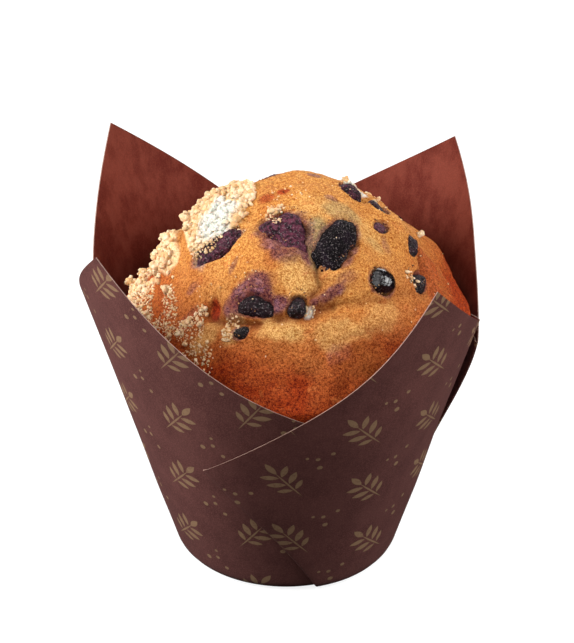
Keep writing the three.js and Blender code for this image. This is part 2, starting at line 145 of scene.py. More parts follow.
# Berries: place in plan, length, width, turn, how proud, gloss from 0 to 1, ripe purple 0 to 1,
# how far three-cornered and where the first corner points
BERRIES = (
    ((-17.2, -11.7), 12.8, 5.6, 16, 1.3, 0.15, 0.8, 0.03, 0),
    ((-2.8, -14.1), 12, 9.6, -40, 1.1, 0.1, 1.0, 0.24, 88),
    ((8.1, -15.6), 14.2, 8.2, 72, 1.5, 0.0, 0.0, 0.03, 100),
    ((-9.3, -25.6), 8.6, 5.2, -10, 0.7, 0.1, 0.1, 0.1, 90),
    ((-0.4, -26.8), 4.8, 4, 70, 0.6, 0.2, 0.15, 0.12, 20),
    ((-12.4, -28.6), 3.6, 2.8, 20, 0.3, 0.2, 0.0, 0.1, 30),
    ((17.7, -18.5), 6.9, 6.4, 0, 1.8, 1.0, 0.0, 0.03, 0),
    ((26.6, -11.2), 5.6, 4.6, 70, 1.1, 0.2, 0.1, 0.1, 0),
    ((24.8, -3.2), 6.2, 3.6, -75, 1.1, 0.15, 0.2, 0.05, 0),
    ((17.8, -6.2), 3.6, 3, 0, 0.6, 0.3, 0.9, 0.05, 0),
    ((11.6, 1.8), 5.6, 4.8, -30, 1.7, 0.1, 0.6, 0.08, 0),
    ((17.2, -0.2), 5.2, 2.6, -30, 0.5, 0.15, 0.4, 0.05, 0),
    ((-5, 16), 9, 7, 30, 1.0, 0.2, 0.6, 0.12, 0),
    ((9, 27.5), 7, 5.4, -35, 0.8, 0.4, 0.1, 0.08, 0),
    ((-22, 17.5), 5.6, 4.6, 60, 0.9, 0.5, 0.2, 0.05, 0),
    ((23, 18.5), 5, 4.4, 15, 1.2, 0.9, 0.0, 0.03, 0),
)
BERRY_DETAIL = (38, 22)
LARGE_BERRY = 6.5
BERRY_FLATNESS = 0.8
# How full the shoulders of a long berry are, and how deep a burst one sinks on top
BLUNTNESS = 1.2
SUNKEN = 0.3
# Pocket round each berry: extra depth, edge, and the rim's height, place and width
POCKET_DEPTH = 0.5
POCKET_EDGE = (0.7, 1.02)
POCKET_RIM = (0.3, 1.22, 0.16)
NEAR_BERRY = 4
FAR_BELOW = -9.0
JUICE_RING = (0.95, 1.2)
JUICE_STRENGTH = 0.8
# Bits of crust on a berry's rim: how many to a millimetre of its half sizes, sizes, where they lie
RIM_BITS = 12
RIM_SIZES = (0.15, 0.5)
RIM_REACH = (0.88, 1.08)

# Pale crumble: patches in plan as place, half sizes, turn, height
PATCHES = (
    ((-17.4, 0), (7.5, 10.5), 0, 1.4),
    ((-18.6, -7), (4.2, 6.2), 0, 1.2),
    ((-28.4, 1.5), (3.4, 7.5), 0, 1.3),
    ((-36, 2), (2.5, 6), 0, 0.8),
    ((-4, 30), (8, 3.5), 10, 1.3),
)
# Loose crumbs by piece: place, half sizes, how many, smallest, largest, how far they keep to clumps
CRUMB_FIELDS = {
    "crumble_heap": (
        ((-16.6, 0), (7, 10.6), 900, 0.5, 1.9, 0.3),
        ((-18.6, -7), (4.3, 6.4), 460, 0.35, 0.9, 0.1),
        ((-19, 8.4), (6, 3), 120, 0.7, 1.8, 0.6),
        ((-29.2, 1), (3.6, 8.4), 360, 0.5, 2, 0.7),
        ((-4, 30), (9, 4.5), 260, 0.6, 1.9, 0.8),
    ),
    "crumble_edge": (
        ((-35.5, 3), (3.4, 9.5), 330, 0.5, 1.6, 0.8),
        ((-34.5, -8), (3, 8), 640, 0.3, 0.85, 0.6),
        ((-30.5, -17), (4, 6.4), 700, 0.22, 0.7, 0.6),
        ((-25.5, -24), (5, 4.6), 560, 0.2, 0.65, 0.7),
        ((-23.5, -21.6), (3.6, 1.3), 70, 0.45, 1.2, 0.3),
        ((-20.5, -30), (2.6, 3.6), 70, 0.4, 1, 0.6),
        ((-28.6, -11), (1.7, 3.2), 90, 0.45, 1.2, 0.9),
        ((18, 24), (4, 4), 60, 0.5, 1.4, 0.7),
    ),
    "crumble_dust": (
        ((-4.8, -9.8), (2.3, 2.8), 90, 0.35, 1, 0.5),
        ((-17.4, -10.2), (5.2, 1.6), 150, 0.35, 0.9, 0.1),
        ((-14.6, -11.6), (3.4, 1.4), 22, 0.3, 0.8, 0.5),
        ((-14.6, -27), (1.9, 1.9), 90, 0.35, 0.8, 0.2),
        ((2.4, -27.2), (1.5, 0.9), 26, 0.35, 0.8, 0.2),
        ((24.8, -12.6), (1.6, 1.3), 24, 0.4, 0.9, 0.2),
        ((11.6, 6.4), (2.2, 1.8), 60, 0.4, 1.2, 0.3),
        ((12.2, 4.2), (2.3, 1.5), 90, 0.35, 1, 0.2),
        ((17.8, 1.4), (1.2, 1.2), 16, 0.4, 0.9, 0.3),
        ((-2.8, -3.4), (4.5, 3), 20, 0.3, 0.7, 0.5),
        ((-16, -19), (9, 5), 40, 0.3, 0.6, 0.7),
        ((0, 0), (35, 35), 260, 0.25, 0.55, 0.9),
    ),
}
# Larger lumps of crumble, as place and size
CRUMBS = (
    (-18.5, 9, 3.2), (-24, 8, 3.4), (-22.8, 2.4, 3), (-10.6, 2.4, 2.4), (-13.6, 6.5, 2.4),
    (-16.4, 3.4, 3), (-20.2, 5.2, 3), (-12.8, -1.4, 2.4),
    (-31, 6, 2.8), (-34.4, 6.4, 2.6), (-27.6, 3.4, 2.6), (-28.8, -1.6, 2.6), (-27.6, 0.4, 2),
    (-30.6, -3.6, 2.4), (-36.4, 5.8, 2.8), (-37, -1.6, 2.2), (-35.4, -7, 2.4), (-33.2, -11.6, 2.2),
    (-31.6, -16.2, 1.7), (-28.9, -10.6, 2.4), (-28, -20.8, 1.4), (-24.6, -24.6, 1.5), (-21.4, -23.4, 1.6),
    (-6, -8.8, 1.8), (10.6, 8.2, 2.6), (16.9, 3.2, 1.8), (-1, 31, 3.2), (-8, 29, 3),
    (4, 32.6, 2.4), (18, 24, 2.6), (27, 8, 2.2),
)
# Grains to a millimetre of a lump's size, and their sizes as shares of it
LUMP_GRAINS = 7
LUMP_SIZES = (0.2, 0.45)
GRAIN_VARIANTS = 24
GRAIN_DETAIL = (1, 2, 6)
GRAIN_WIDTH = (0.65, 1)
GRAIN_HEIGHT = (0.55, 0.9)
FINE_GRAIN = 0.7
LARGE_GRAIN = 2.0
CRUMB_SEED = 41
# Clumps of loose crumbs: size, octaves, seed, how bare it is between them, and the dome's bare rim
CLUMPS = (3.2, 2, 37)
CLUMP_LIMITS = (-1, 0.45)
BARE_RIM = 1.2

# Marks on the crust: place in plan, half sizes, turn, strength. Juice first
STAINS = (
    ((-9.8, -23.6), (6.4, 3.4), -6, 1), ((-14, -23.4), (2.6, 1.8), 10, 0.7),
    ((-2.6, -14.4), (6.6, 6), -40, 0.9), ((1.2, -18.6), (1.1, 3.2), 24, 1),
    ((6.6, -24.4), (4.2, 1.3), 33, 0.95), ((3.4, -25.8), (2, 1.2), 10, 0.9),
    ((-4.4, -26.2), (3.2, 1.8), 0, 1), ((-13.6, -17.8), (1.8, 1), 40, 0.6),
    ((-23.1, -16.3), (1.6, 1), 0, 0.5),
    ((7.1, -4.4), (1.6, 0.9), 0, 0.6), ((3.5, 3.9), (1.6, 1), 0, 0.8),
    ((17.6, -6.2), (1.2, 2), 0, 0.6), ((19.2, -9.6), (1.1, 2.6), 20, 0.5),
    ((9, -32), (3.2, 1.6), 20, 0.3), ((9.6, -21.6), (3, 1.2), 30, 0.45),
    ((-24, -20.4), (3, 1.2), 10, 0.35), ((-5, 16), (6.5, 5.5), 30, 0.9), ((9, 27.5), (5, 4), -35, 0.7),
)
# Juice that ran along the cracks: path, strength, width
TRICKLES = (
    (((-1.6, -15.6), (0.4, -18), (2, -20.2)), 1.2, 1.5),
    (((3.6, -25.8), (6.7, -23.9), (9.7, -21.5)), 1.1, 1.3),
)
# Deep brown spots
EMBERS = (
    ((-3.3, -2.5), (1.7, 0.9), 10, 0.9), ((-6.8, -4.2), (2, 1.4), 30, 0.75),
    ((-6.1, -19.3), (1.4, 2.2), 20, 0.35), ((-21.6, -21.2), (3, 1), 12, 0.4),
    ((-18.3, -22), (1.5, 1.8), 0, 1), ((-33, 1.5), (3, 5), 0, 0.4), ((-29.5, -7), (2.4, 4), 0, 0.35),
    ((28.6, -4), (2.6, 5), 10, 0.5), ((30, -9), (2, 4), 10, 0.5),
)
# Paler crust
BLONDS = (
    ((0.3, -22.6), (5, 4), 0, 0.75), ((-3.4, -29.6), (7, 2), -6, 0.85),
    ((8, -29.6), (7, 2.2), 16, 0.6), ((14.6, -9.6), (4.2, 4.2), 0, 0.5), ((3, -8), (6, 5), 0, 0.5),
    ((-14.2, -27.2), (3, 2.4), 0, 0.7),
    ((-20, -26.2), (4, 2), 0, 0.6), ((18, -24), (6, 2.4), 35, 0.45),
)
# Greyish crust beside the dark berries
ASHES = (
    ((3.6, -15.4), (3, 6), -12, 1), ((8.8, -7.6), (4.8, 3.2), 10, 0.65),
    ((3.4, -19.2), (2.4, 2.8), 0, 0.8),
    ((17, -11), (2.4, 1.6), 0, 0.35),
)
# Strips left bare between the heaps
BARES = (((-24.6, -1.5), (1.2, 7.5), 0, 1), ((-31.2, 1.5), (1.1, 1.9), 0, 1))
# Crumble with white flour on it
FLOURS = (((-17.6, -5.6), (4.6, 7.2), -10, 1), ((2.4, -27.3), (1.6, 0.9), 30, 0.8),
          ((12.6, 4.6), (2.6, 1.7), 0, 1))

# Unevenness: amount, size, octaves, seed
WRINKLES = (0.3, 4.2, 3, 11)
PORES = (0.13, 1.2, 2, 19)
CRUMBLE_ROUGH = (0.8, 2.4, 3, 23)
CRUMBLE_RAISE = 0.2
CRUMBLE_RAGGED = (0.22, 3.2, 3, 31)
POCKET_RAGGED = (0.2, 2.0, 3, 47)
TOAST_AND_SHADE_UNEVEN = (0.14, 7.0, 3, 51)
MARKS_RAGGED = (0.3, 3.4, 3, 61)
GRAIN_ROUGH = (0.36, 0.9, 3, 13)
# Where patches, crumble and marks fade out, as shares of their half sizes
PATCH_EDGE = (0.75, 1.15)
COVER_EDGE = (0.86, 1.06)
MARK_EDGE = (0.55, 1.1)
# Toasting and painted shade: heights, and how much more and between which distances from the axis on each
# side
TOAST_AND_SHADE_HEIGHTS = (57.0, 84.0)
TOAST_AND_SHADE_LEFT = (0.14, 6.0, 30.0)
TOAST_AND_SHADE_RIGHT = (0.2, 14.0, 30.0)

# Colours as the screen shows them, from 0 to 255: the dark and the light of each grain
PAPER_OUTSIDE = ((86, 51, 48), (98, 60, 56))
PAPER_INSIDE = ((84, 26, 15), (108, 48, 35))
# Painted highlight: the paper's thin cut edges are coloured much lighter than its faces, as edges look where
# they catch the light
PAPER_EDGE_HIGHLIGHT = ((112, 78, 68), (166, 136, 122))
PRINT = (146, 116, 88)
GOLDEN = ((138, 64, 6), (213, 152, 78))
GOLDEN_CLOUD = ((144, 78, 14), (220, 171, 102))
# Partly browning, partly painted shade: the lower skirt and the sides coloured darker, as where less light
# reaches them
TOASTED_AND_SHADED = ((76, 5, 0), (172, 65, 17))
BLOND = ((150, 88, 24), (226, 183, 114))
EMBER = ((58, 8, 2), (176, 58, 20))
SPECK = ((128, 52, 18), (204, 120, 60))
# Painted shade: cracks and folds are coloured darker the deeper they cut
CRACK_SHADE = (98, 38, 14)
ASHEN = ((100, 80, 46), (180, 152, 102))
JUICE = ((32, 5, 20), (108, 42, 66))
PALE_JUICE = ((72, 36, 58), (160, 118, 136))
CRUMBLE_CRUST = ((206, 162, 108), (236, 210, 168))
FLOURY_CRUST = ((206, 198, 182), (234, 230, 220))
BLACK_BERRY_SKIN = ((3, 1, 2), (18, 11, 14))
RIPE_BERRY_SKIN = ((22, 5, 14), (98, 44, 62))
BERRY_BLOOM = (70, 46, 70)
BERRY_GLINT = (150, 138, 138)
CREAM = ((212, 168, 118), (238, 214, 180))
# Painted shade: mixed into the cream where the grain's bumps are low, darkening the hollows between grains
CREAM_PAINTED_SHADE = (206, 146, 84)
WHITE_CRUMBLE = ((200, 194, 180), (226, 223, 213))
BITS = ((84, 40, 38), (196, 144, 92))
# Painted shade: mixed into the bits' brown where the grain's bumps are low, darkening the hollows
BITS_PAINTED_SHADE = (70, 26, 16)
FLOOR = ((134, 134, 134), (140, 140, 140))

FLOOR_REACH = 3000
FLOOR_GLOW = 0.84
# Lights: name, place and size in metres, power in watts
LIGHT_TARGET = (0.0, 0.0, 0.06)
LIGHTS = (
    ("key", (-0.35, -0.08, 0.26), 0.28, 2.9),
    ("fill", (0.36, -0.08, 0.26), 0.28, 1.9),
    ("front", (-0.05, -0.42, 0.46), 0.5, 1.6),
    ("top", (0.0, 0.0, 0.65), 0.4, 0.8),
    ("back", (0.12, 0.5, 0.3), 0.36, 1.6),
)
# Sky: directions up from low to high, and its strength at each
SKY = (-0.2, 0.9, 0.08, 0.44)

rng = np.random.default_rng(CRUMB_SEED)


def srgb(red, green, blue):
    """A colour given as screen values from 0 to 255, as Blender's linear colour."""
    linear = []
    for value in (red, green, blue):
        share = value / 255.0
        linear.append(share / 12.92 if share <= 0.04045 else ((share + 0.055) / 1.055) ** 2.4)
    return (*linear, 1.0)


def smooth(low, high, value):
    share = np.clip((value - low) / (high - low), 0.0, 1.0)
    return share * share * (3 - 2 * share)


def lerp(low, high, share):
    return low + (high - low) * share


def bell(offset, width):
    return np.exp(-((offset / width) ** 2))


def lattice_value(ix, iy, iz, seed):
    mixed = ix * 374761393 + iy * 668265263 + iz * 1440662683 + seed * 1274126177
    mixed = (mixed ^ (mixed >> 13)) * 1274126177
    return ((mixed ^ (mixed >> 16)) & 0xFFFF) / 32767.5 - 1.0


def noise(points, size, seed=0):
    """Smooth noise from -1 to 1 at points given as an array of rows."""
    scaled = points / size
    cell = np.floor(scaled).astype(np.int64)
    part = scaled - cell
    part = part * part * (3 - 2 * part)
    total = np.zeros(len(scaled))
    for dx in (0, 1):
        for dy in (0, 1):
            for dz in (0, 1):
                weight = np.abs(1 - dx - part[:, 0]) * np.abs(1 - dy - part[:, 1])
                weight = weight * np.abs(1 - dz - part[:, 2])
                value = lattice_value(cell[:, 0] + dx, cell[:, 1] + dy, cell[:, 2] + dz, seed)
                total += weight * value
    return total


def cloudy(points, size, octaves, seed=0):
    total = np.zeros(len(points))
    for octave in range(octaves):
        total += noise(points, size / 2 ** octave, seed + 7 * octave) / 2 ** octave
    return total


def uneven(points, amount, size, octaves, seed):
    return amount * cloudy(points, size, octaves, seed)


# Mesh making

def geodesic(detail):
    """Points and triangles of a ball whose triangles are nearly alike."""
    base = bmesh.new()
    bmesh.ops.create_icosphere(base, subdivisions=1, radius=1.0)
    corners = np.array([vert.co[:] for vert in base.verts])
    sides = [[vert.index for vert in face.verts] for face in base.faces]
    base.free()
    steps = [(i, j) for i in range(detail + 1) for j in range(detail + 1 - i)]
    number = {step: index for index, step in enumerate(steps)}
    shares = np.array(steps) / detail
    patch = []
    for i in range(detail):
        for j in range(detail - i):
            patch.append((number[i, j], number[i + 1, j], number[i, j + 1]))
            if i + j < detail - 1:
                patch.append((number[i + 1, j], number[i + 1, j + 1], number[i, j + 1]))
    patch = np.array(patch)
    points = []
    faces = []
    for a, b, c in sides:
        first, second, third = corners[a], corners[b], corners[c]
        across = shares[:, :1] * (second - first) + shares[:, 1:] * (third - first)
        faces.append(patch + len(steps) * len(points))
        points.append(first + across)
    points = np.concatenate(points)
    points /= np.linalg.norm(points, axis=1, keepdims=True)
    keys = np.round(points, 6) + 0.0
    unique, first_at, back = np.unique(keys, axis=0, return_index=True, return_inverse=True)
    return points[first_at], back.reshape(-1)[np.concatenate(faces)]


def make_piece(name, points, faces, materials, face_material=None, sharp=None):
    mesh = bpy.data.meshes.new(name)
    mesh.from_pydata((np.asarray(points) * MM).tolist(), [], [list(map(int, f)) for f in faces])
    for material in materials:
        mesh.materials.append(material)
    if face_material is not None:
        mesh.polygons.foreach_set("material_index", np.asarray(face_material, dtype=np.int32))
    mesh.polygons.foreach_set("use_smooth", np.ones(len(mesh.polygons), dtype=bool))
    if sharp is not None:
        mesh.set_sharp_from_angle(angle=math.radians(sharp))
    mesh.update()
    piece = bpy.data.objects.new(name, mesh)
    bpy.context.scene.collection.objects.link(piece)
    return piece


def add_mask(piece, name, values):
    layer = piece.data.attributes.new(name, "FLOAT", "POINT")
    layer.data.foreach_set("value", np.asarray(values, dtype=np.float32))


# Node helpers

class Nodes:
    """Builds the nodes of a material or a world, with short calls for the kinds used most."""

    def __init__(self, name, group=bpy.data.materials):
        self.owner = group.new(name)
        self.owner.use_nodes = True
        self.tree = self.owner.node_tree

    def add(self, kind, **settings):
        node = self.tree.nodes.new(kind)
        for key, value in settings.items():
            setattr(node, key, value)
        return node

    def put(self, socket, value):
        if isinstance(value, bpy.types.NodeSocket):
            self.tree.links.new(value, socket)
        elif value is not None:
            socket.default_value = value

    def math(self, operation, first, second=None):
        node = self.add("ShaderNodeMath", operation=operation)
        for socket, value in zip(node.inputs, (first, second)):
            self.put(socket, value)
        return node.outputs[0]

    def mask(self, name):
        return self.add("ShaderNodeAttribute", attribute_name=name).outputs["Fac"]

    def position(self):
        return self.add("ShaderNodeTexCoord").outputs["Object"]

    def stretched(self, vector, scale):
        node = self.add("ShaderNodeMapping")
        self.put(node.inputs["Vector"], vector)
        node.inputs["Scale"].default_value = scale
        return node.outputs[0]

    def grain(self, vector, per_metre, detail=3.0, roughness=0.55):
        """Noise with so many cells to a metre."""
        node = self.add("ShaderNodeTexNoise")
        self.put(node.inputs["Vector"], vector)
        node.inputs["Scale"].default_value = per_metre
        node.inputs["Detail"].default_value = detail
        node.inputs["Roughness"].default_value = roughness
        return node.outputs["Fac"]

    def parts(self, vector):
        node = self.add("ShaderNodeSeparateXYZ")
        self.put(node.inputs[0], vector)
        return node.outputs

    def ranged(self, value, low, high, to_low=0.0, to_high=1.0, curve="SMOOTHSTEP"):
        node = self.add("ShaderNodeMapRange", interpolation_type=curve)
        for key, number in zip(("Value", "From Min", "From Max", "To Min", "To Max"),
                               (value, low, high, to_low, to_high)):
            self.put(node.inputs[key], number)
        return node.outputs["Result"]

    def mix(self, share, first, second):
        node = self.add("ShaderNodeMix", data_type="RGBA")
        colour_a, colour_b, colour_out = 6, 7, 2
        self.put(node.inputs["Factor"], share)
        self.put(node.inputs[colour_a], first)
        self.put(node.inputs[colour_b], second)
        return node.outputs[colour_out]

    def shade(self, share, pair):
        """A colour between the dark and the light of a pair."""
        return self.mix(share, srgb(*pair[0]), srgb(*pair[1]))

    def bump(self, height, distance, strength=1.0, after=None):
        node = self.add("ShaderNodeBump")
        node.inputs["Strength"].default_value = strength
        node.inputs["Distance"].default_value = distance * MM
        self.put(node.inputs["Height"], height)
        self.put(node.inputs["Normal"], after)
        return node.outputs[0]

    def finish(self, colour, roughness, normal=None, **fixed):
        inputs = self.tree.nodes["Principled BSDF"].inputs
        self.put(inputs["Base Color"], colour)
        self.put(inputs["Roughness"], roughness)
        self.put(inputs["Normal"], normal)
        for key, value in fixed.items():
            inputs[key.replace("_", " ")].default_value = value
        return self.owner


# Paper case

def wall_radius(z):
    turned = FOOT_ROUND - math.sqrt(max(FOOT_ROUND ** 2 - max(FOOT_ROUND - z, 0.0) ** 2, 0.0))
    return FOOT_RADIUS + FLARE * z - turned


def fold_azimuth(petal, side, z):
    azimuth, height = petal["outer"] if side == 0 else petal["inner"]
    foot = petal["feet"][side] + (FOOT_TUCK if side else -FOOT_TUCK)
    return lerp(foot, azimuth, min(z / height, 1.0))


def lift_at(petal, z):
    most, height, below, above = petal["lift"]
    return most * float(bell(z - height, below if z < height else above))


def petal_offset(petal, before, after, azimuth, z):
    overlap_end = fold_azimuth(before, 1, z) - (before["feet"][1] - petal["feet"][0])
    next_start = fold_azimuth(after, 0, z) + (petal["feet"][1] - after["feet"][0])
    over = 2 * LAYER * (1 - float(smooth(overlap_end, next_start, azimuth)))
    start = fold_azimuth(petal, 0, z)
    return over + lift_at(petal, z) * (1 - float(smooth(start, overlap_end, azimuth)))


def petal_columns(petal, before, after):
    """Columns as (top, place), where place(z) gives azimuth, offset, shift and facing."""
    columns = []

    def edge(start, slope, share):
        rise = slope[0] * share + (1 - slope[0]) * share ** slope[1]
        return lerp(start[0], petal["tip"][0], share), lerp(start[1], petal["tip"][1], rise)

    def add_paper(azimuth_top, top):
        low = fold_azimuth(petal, 0, top)
        share = (azimuth_top - low) / (fold_azimuth(petal, 1, top) - low)

        def place(z):
            azimuth = lerp(fold_azimuth(petal, 0, z), fold_azimuth(petal, 1, z), share)
            return azimuth, petal_offset(petal, before, after, azimuth, z), 0.0, 0.0
        columns.append((top, place))

    shares = [1 - (1 - i / EDGE_STEPS) ** EDGE_CROWDING for i in range(EDGE_STEPS + 1)]
    for share in shares:
        add_paper(*edge(petal["outer"], petal["left"], share))
    for share in reversed(shares[:-1]):
        add_paper(*edge(petal["inner"], petal["right"], share))

    turn = petal["feet"][1] - after["feet"][0]
    outer_top = after["outer"][1]
    inner_top = petal["inner"][1]
    half = LAYER / 2

    def add_bend(top, azimuth_at, bend, base_at, sense):
        def place(z):
            offset = base_at(z) + half * (1 - math.cos(bend))
            facing = -bend if sense > 0 else math.pi + bend
            return azimuth_at(z), offset, sense * half * math.sin(bend), facing
        columns.append((top, place))

    for i in range(1, FOLD_STEPS):
        add_bend(inner_top, lambda z: fold_azimuth(petal, 1, z), math.pi * i / FOLD_STEPS,
                 lambda z: 0.0, 1)
    for i in range(PLEAT_STEPS + 1):
        share = i / PLEAT_STEPS

        def place(z, share=share):
            azimuth = lerp(fold_azimuth(petal, 1, z), fold_azimuth(after, 0, z) + turn, share)
            return azimuth, LAYER + lift_at(after, z) * float(smooth(0, 1, share)), 0.0, math.pi
        columns.append((lerp(inner_top, outer_top, share), place))
    for i in range(1, FOLD_STEPS):
        add_bend(outer_top, lambda z: fold_azimuth(after, 0, z) + turn, math.pi * i / FOLD_STEPS,
                 lambda z: LAYER + lift_at(after, z), -1)
    return columns


def paper_row(column, heights, side):
    """Points of one column on the outer (1) or inner (-1) face, with sheet coordinates."""
    rows = []
    for z in heights:
        azimuth, offset, shift, facing = column(z)
        angle = math.radians(azimuth)
        outward = wall_radius(z) + offset + side * SHEET / 2 * math.cos(facing)
        along = shift + side * SHEET / 2 * math.sin(facing)
        rows.append((
            outward * math.sin(angle) + along * math.cos(angle),
            -outward * math.cos(angle) + along * math.sin(angle),
            z, azimuth,
        ))
    return rows


def paper_material(name, pair, inside):
    nodes = Nodes(name)
    place = nodes.position()
    streaks = nodes.grain(nodes.stretched(place, (1.0, 1.0, 0.3)), 360.0, 4.0, 0.65)
    cloud = nodes.grain(place, 110.0, 4.0, 0.65)
    fibre = nodes.grain(place, 3200.0, 2.0, 0.7)
    streakiness, fibres = (0.4, 0.2) if inside else (0.3, 0.4)
    blotch = nodes.math("ADD", nodes.math("MULTIPLY", streaks, streakiness),
                        nodes.math("MULTIPLY", cloud, 1 - streakiness))
    colour = nodes.shade(nodes.ranged(blotch, 0.38, 0.62), pair)
    bright = tuple(min(1.0, value * 2.0) for value in srgb(*pair[1]))
    colour = nodes.mix(nodes.ranged(fibre, 0.42, 0.68, 0.0, fibres), colour, bright)
    if not inside:
        colour = nodes.mix(print_mask(nodes), colour, srgb(*PRINT))
    normal = nodes.bump(fibre, 0.05, 0.5)
    normal = nodes.bump(streaks, 0.12, 0.35, normal)
    return nodes.finish(colour, 0.7, normal, Specular_IOR_Level=0.12, Sheen_Weight=0.02, Sheen_Roughness=0.4)


def print_mask(nodes):
    """How much of the print covers a spot, from the sheet's own coordinates."""
    across, up, _ = nodes.parts(nodes.add("ShaderNodeUVMap", uv_map="sheet").outputs[0])
    wide, high = PRINT_CELL
    calc = nodes.math
    row = calc("FLOOR", calc("DIVIDE", up, high))
    stagger = calc("MULTIPLY", calc("FLOORED_MODULO", row, 2.0), wide / 2)
    x = calc("SUBTRACT", calc("FLOORED_MODULO", calc("ADD", across, stagger), wide), wide / 2)
    y = calc("SUBTRACT", calc("FLOORED_MODULO", up, high), high / 2)
    inside = None
    for cx, cy, turn, half_length, half_width in SPRIG:
        cosine, sine = math.cos(math.radians(turn)), math.sin(math.radians(turn))
        dx = calc("SUBTRACT", calc("ABSOLUTE", x), cx)
        dy = calc("SUBTRACT", y, cy)
        along = calc("ADD", calc("MULTIPLY", dx, cosine), calc("MULTIPLY", dy, sine))
        aside = calc("SUBTRACT", calc("MULTIPLY", dy, cosine), calc("MULTIPLY", dx, sine))
        bulge = calc("POWER", calc("DIVIDE", along, half_length), 2.0)
        edge = calc("MULTIPLY", calc("SUBTRACT", 1.0, bulge), half_width)
        depth = calc("SUBTRACT", edge, calc("ABSOLUTE", aside))
        inside = depth if inside is None else calc("MAXIMUM", inside, depth)
    for cx, cy, radius in PRINT_DOTS:
        dx = calc("POWER", calc("SUBTRACT", x, cx), 2.0)
        dy = calc("POWER", calc("SUBTRACT", y, cy), 2.0)
        depth = calc("SUBTRACT", radius, calc("SQRT", calc("ADD", dx, dy)))
        inside = calc("MAXIMUM", inside, depth)
    cover = nodes.ranged(inside, -0.06, 0.06)
    worn = nodes.ranged(nodes.grain(nodes.position(), 1500.0, 2.0), 0.3, 0.5, 0.62, 0.95)
    return calc("MULTIPLY", cover, worn)


def make_wrap():
    columns = []
    petal_of = []
    for index, petal in enumerate(PETALS):
        before = PETALS[index - 1]
        after = PETALS[(index + 1) % len(PETALS)]
        found = petal_columns(petal, before, after)
        columns += found
        petal_of += [index] * len(found)
    bends = [math.pi / 2 * i / FOOT_STEPS for i in range(1, FOOT_STEPS + 1)]
    foot_heights = [FOOT_ROUND * (1 - math.cos(bend)) for bend in bends]
    faces_points = []
    for side, start in ((1, 0.0), (-1, SHEET)):
        grid = []
        for top, place in columns:
            rest = [lerp(FOOT_ROUND, top, (i + 1) / WALL_STEPS) for i in range(WALL_STEPS)]
            lows = [max(z, start + LEAST_STEP) for z in foot_heights]
            grid.append(paper_row(place, [start] + lows + rest, side))
        faces_points.append(np.array(grid))
    outer, inner = faces_points
    count, rows = outer.shape[:2]
    stacked = np.concatenate([outer.transpose(1, 0, 2), inner.transpose(1, 0, 2)]).reshape(-1, 4)
    points = stacked[:, :3].copy()

    # Real paper isn't a perfect cone: all layers share one soft wave
    wave = PAPER_WAVE * noise(points, PAPER_WAVE_SIZE, 5) * smooth(*PAPER_WAVE_FADE, points[:, 2])
    radius = np.hypot(points[:, 0], points[:, 1])
    points[:, :2] *= (1 + wave / radius)[:, None]

    def quad(low, high, column):
        places = ((low, column), (low, column + 1), (high, column + 1), (high, column))
        return [row * count + at % count for row, at in places]

    quads = []
    kinds = []
    for column in range(count):
        for row in range(rows - 1):
            quads += [quad(row, row + 1, column), quad(rows + row, rows + row + 1, column)[::-1]]
            kinds += [0, 1]
        quads.append(quad(rows - 1, 2 * rows - 1, column))
        kinds.append(2)
    quads += [range(count - 1, -1, -1), range(rows * count, (rows + 1) * count)]
    kinds += [0, 1]
    materials = [
        paper_material("paper_outside", PAPER_OUTSIDE, False),
        paper_material("paper_inside", PAPER_INSIDE, True),
        edge_highlight_material(),
    ]
    wrap = make_piece("wrap_paper", points, quads, materials, kinds, sharp=50)

    # Sheet coordinates: each petal's side of the cone laid flat, and turned as it was in the sheet
    slope = math.atan(FLARE)
    apex = -FOOT_RADIUS / FLARE
    tips = np.array([PETALS[k]["tip"][0] for k in petal_of])
    turns = np.radians(np.array([SHEET_TURN[k] for k in petal_of]))
    column_of = np.tile(np.arange(count), 2 * rows)
    angle = np.radians(stacked[:, 3] - tips[column_of]) * math.sin(slope)
    reach = (points[:, 2] - apex) / math.cos(slope)
    x = reach * np.sin(angle)
    y = reach * np.cos(angle) + apex / math.cos(slope)
    cosine, sine = np.cos(turns[column_of]), np.sin(turns[column_of])
    flat = np.column_stack([x * cosine + y * sine, y * cosine - x * sine])
    layer = wrap.data.uv_layers.new(name="sheet")
    loops = np.zeros(len(wrap.data.loops), dtype=np.int32)
    wrap.data.loops.foreach_get("vertex_index", loops)
    layer.data.foreach_set("uv", flat[loops].astype(np.float32).reshape(-1))
    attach(wrap, "root")
    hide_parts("wrap")


# The thin cut edges of the paper, coloured light as a painted highlight
def edge_highlight_material():
    nodes = Nodes("paper_edge_highlight")
    grain = nodes.grain(nodes.position(), 900.0, 2.0)
    return nodes.finish(nodes.shade(grain, PAPER_EDGE_HIGHLIGHT), 0.7)


# Muffin

def dome_height(radius):
    share = np.minimum(radius / DOME_RADIUS, 1.0)
    return DOME_BASE + DOME_RISE * (1 - share * share) ** DOME_POWER


def dome_points(plan):
    plan = np.atleast_2d(plan)
    return np.column_stack([plan, dome_height(np.hypot(plan[:, 0], plan[:, 1]))])


def dome_normals(plan):
    plan = np.atleast_2d(plan)
    radius = np.maximum(np.hypot(plan[:, 0], plan[:, 1]), 0.01)
    step = 0.01
    slope = (dome_height(radius + step) - dome_height(radius - step)) / (2 * step)
    normals = np.column_stack([-slope[:, None] * plan / radius[:, None], np.ones(len(plan))])
    return normals / np.linalg.norm(normals, axis=1, keepdims=True)


def room_inside(z):
    return FOOT_RADIUS + FLARE * z - SHEET / 2 - CLEARANCE


